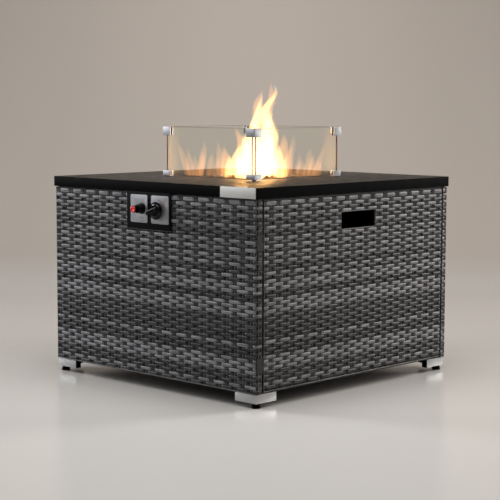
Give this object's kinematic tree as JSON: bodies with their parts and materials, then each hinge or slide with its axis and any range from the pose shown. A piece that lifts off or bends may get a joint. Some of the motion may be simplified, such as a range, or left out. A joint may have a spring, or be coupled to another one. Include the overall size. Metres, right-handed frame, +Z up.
{
  "type": "gas fire pit table",
  "caption": "Square outdoor gas fire pit table with woven sides, black metal top, sunk burner under lava rocks, lift-off glass wind guard, hinged door, igniter and gas knob.",
  "frame": {"origin": "on the floor under the middle of the table", "axes": "+Z up, -Y towards the control panel, +X towards the door"},
  "size_m": [0.8, 0.8347, 0.701],
  "materials": {
    "black_steel": "satin black powder coat",
    "frame_steel": "satin dark grey powder coat",
    "pan_steel": "matte heat-proof black",
    "bare_steel": "fine horizontal brushing",
    "cover_metal": "brushed",
    "clip_metal": "satin silver",
    "weave": "flat grey cane",
    "black_plastic": "satin",
    "knob_plastic": "semi-gloss",
    "red_plastic": "semi-gloss",
    "housing_plastic": "satin",
    "pad_rubber": "matte",
    "pane_glass": "clear tempered",
    "lava": "rough, dark red-brown",
    "burner_metal": "heat-dulled",
    "brass": "machined",
    "small_steel": "zinc plated",
    "pipe_metal": "drawn",
    "copper": "drawn",
    "ceramic": "glazed white",
    "spring_steel": "ground",
    "lead_cover": "silicone sleeve"
  },
  "bodies": {
    "table": {"tabletop": "black_steel", "fascia_plate": "bare_steel", "posts": "frame_steel", "top_rails": "frame_steel", "bottom_rails": "frame_steel", "rattan_front": "weave", "rattan_rear": "weave", "rattan_left": "weave", "rattan_strip_front": "weave", "rattan_strip_rear": "weave", "base_shelf": "frame_steel", "bottle_ring": "frame_steel", "foot_covers": "cover_metal", "foot_blocks": "black_plastic", "control_bezel": "black_plastic", "igniter_plate": "bare_steel", "valve_plate": "bare_steel", "igniter_housing": "housing_plastic", "igniter_nut": "housing_plastic", "gas_valve": "brass", "valve_screws": "small_steel", "hose_tail": "brass", "burner_pan": "pan_steel", "burner_ring": "burner_metal", "burner_lock_nut": "small_steel", "lava_rocks": "lava", "mixer_tube": "burner_metal", "jet_holder": "brass", "gas_pipe": "pipe_metal", "pipe_nut": "brass", "pilot_bracket": "small_steel", "spark_electrode": "ceramic", "thermocouple": "copper", "spark_lead": "lead_cover", "thermocouple_lead": "copper", "hinge_barrels": "frame_steel", "hinge_pins": "small_steel", "magnet_catch": "black_plastic"},
    "guard": {"glass_front": "pane_glass", "glass_right": "pane_glass", "glass_rear": "pane_glass", "glass_left": "pane_glass", "top_clips": "clip_metal", "bottom_clips": "clip_metal", "clip_screws": "small_steel", "guard_pads": "pad_rubber"},
    "door": {"door_rattan": "weave", "door_frame": "frame_steel", "hinge_leaves": "frame_steel", "strike_plate": "small_steel"},
    "valve_push": {"spring_seat": "spring_steel"},
    "gas_control": {"valve_stem": "small_steel", "gas_knob": "knob_plastic"},
    "igniter_push": {"igniter_button": "red_plastic"},
    "shutter": {"air_shutter": "small_steel"},
    "glide_front_left": {"glide_front_left": "black_plastic"},
    "glide_front_right": {"glide_front_right": "black_plastic"},
    "glide_rear_left": {"glide_rear_left": "black_plastic"},
    "glide_rear_right": {"glide_rear_right": "black_plastic"}
  },
  "joints": [
    {"name": "guard_lift", "type": "slide", "parent": "table", "child": "guard", "axis": [0, 0, 1], "range_m": [0, 0.2]},
    {"name": "door_swing", "type": "hinge", "parent": "table", "child": "door", "pos_m": [0.394, -0.3735, 0.285], "axis": [0, 0, -1], "range_deg": [0, 100]},
    {"name": "knob_press", "type": "slide", "parent": "table", "child": "valve_push", "axis": [0, 1, 0], "range_m": [0, 0.004], "stiffness_N_per_m": 1500, "springref_m": -0.004},
    {"name": "knob_turn", "type": "hinge", "parent": "valve_push", "child": "gas_control", "pos_m": [0.036, -0.4052, 0.484], "axis": [0, -1, 0], "range_deg": [-110, 70]},
    {"name": "igniter_press", "type": "slide", "parent": "table", "child": "igniter_push", "axis": [0, 1, 0], "range_m": [0, 0.008], "stiffness_N_per_m": 1000, "springref_m": -0.004},
    {"name": "shutter_turn", "type": "hinge", "parent": "table", "child": "shutter", "pos_m": [0, -0.098, 0.474], "axis": [0, 1, 0], "range_deg": [0, 45]},
    {"name": "glide_front_left_turn", "type": "hinge", "parent": "table", "child": "glide_front_left", "pos_m": [-0.379, -0.379, 0.02], "axis": [0, 0, 1], "continuous": true},
    {"name": "glide_front_right_turn", "type": "hinge", "parent": "table", "child": "glide_front_right", "pos_m": [0.379, -0.379, 0.02], "axis": [0, 0, 1], "continuous": true},
    {"name": "glide_rear_left_turn", "type": "hinge", "parent": "table", "child": "glide_rear_left", "pos_m": [-0.379, 0.379, 0.02], "axis": [0, 0, 1], "continuous": true},
    {"name": "glide_rear_right_turn", "type": "hinge", "parent": "table", "child": "glide_rear_right", "pos_m": [0.379, 0.379, 0.02], "axis": [0, 0, 1], "continuous": true}
  ]
}
